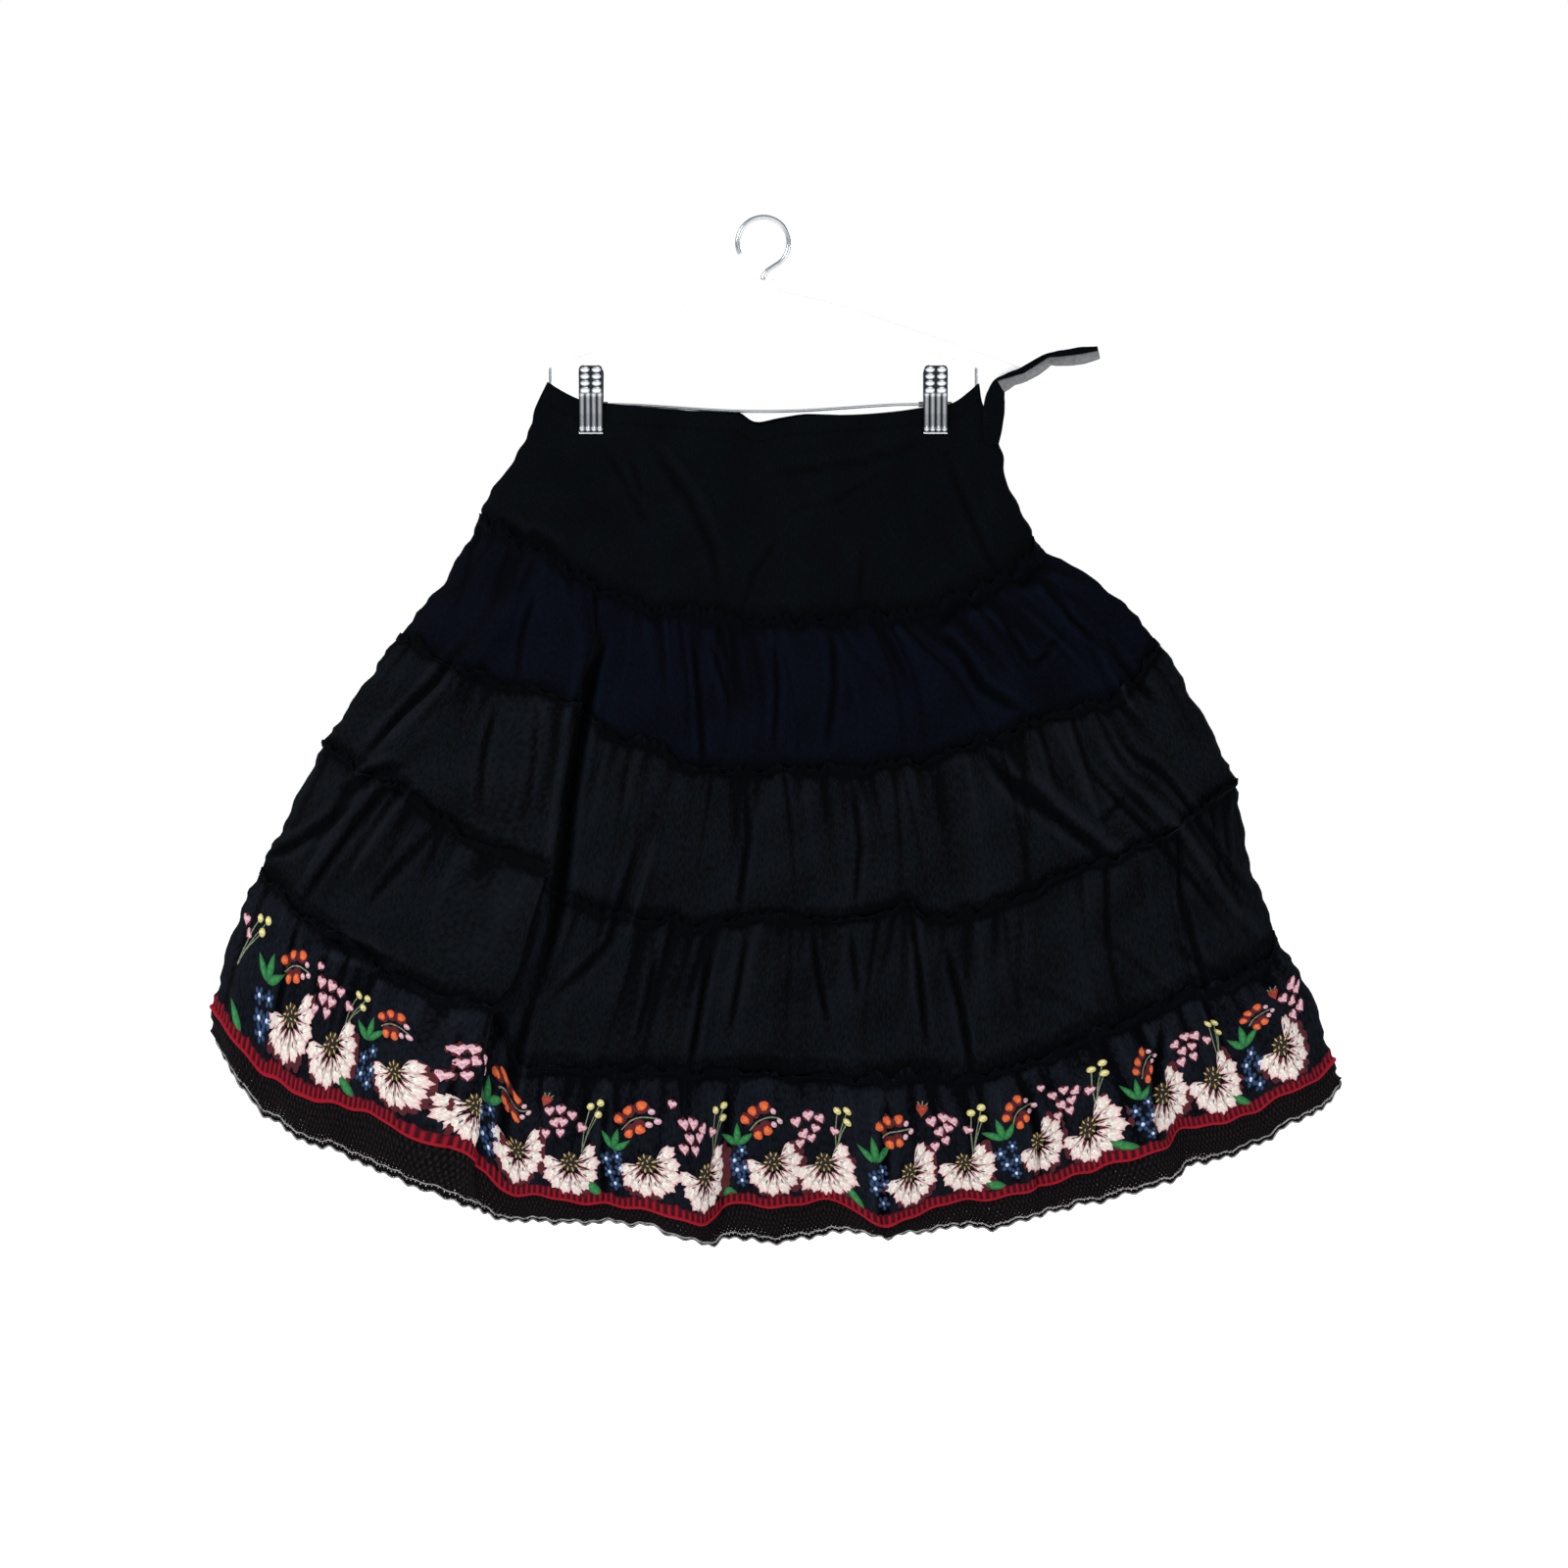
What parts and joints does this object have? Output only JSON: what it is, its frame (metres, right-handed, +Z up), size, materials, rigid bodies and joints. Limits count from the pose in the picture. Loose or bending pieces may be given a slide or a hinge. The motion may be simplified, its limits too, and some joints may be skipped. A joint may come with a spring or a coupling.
{
  "type": "tiered pollera skirt on a clip hanger",
  "caption": "Gathered black cotton skirt with a smooth hip yoke, tiers, a flower-embroidered hem, red braid and lace, hung flat by its waist from a two-clip hanger.",
  "frame": {"origin": "The highest point of the inside of the hanger's hook, where it rests on a rail.", "axes": "+Z is up. +X runs along the hanger's bar to the skirt's right side as a viewer in front sees it, where the tie is. The front of the skirt faces -Y."},
  "size_m": [0.8788, 0.1322, 0.7944],
  "materials": {
    "black_cotton": "crinkled cotton gauze, dull",
    "blue_black_cotton": "crinkled cotton gauze, dull, faintly blue",
    "red_braid": "close wool stitching",
    "black_lace": "machine lace with a waved edge",
    "white_plastic": "smooth moulded plastic",
    "chrome": "bright plating"
  },
  "bodies": {
    "root": {"yoke_front": "black_cotton", "yoke_back": "black_cotton", "tier_1_front": "blue_black_cotton", "tier_1_back": "blue_black_cotton", "tier_2_front": "black_cotton", "tier_2_back": "black_cotton", "tier_3_front": "black_cotton", "tier_3_back": "black_cotton", "hem_flounce_front": "blue_black_cotton", "hem_flounce_back": "blue_black_cotton", "red_braid_front": "red_braid", "red_braid_back": "red_braid", "lace_edging_front": "black_lace", "lace_edging_back": "black_lace", "side_tie": "black_cotton", "hanger_arms": "white_plastic", "hanger_hook": "chrome", "hanger_bar": "chrome", "clip_left_front_jaw": "chrome", "clip_left_back_jaw": "chrome", "clip_left_barrel": "chrome", "clip_right_front_jaw": "chrome", "clip_right_back_jaw": "chrome", "clip_right_barrel": "chrome"}
  },
  "joints": []
}
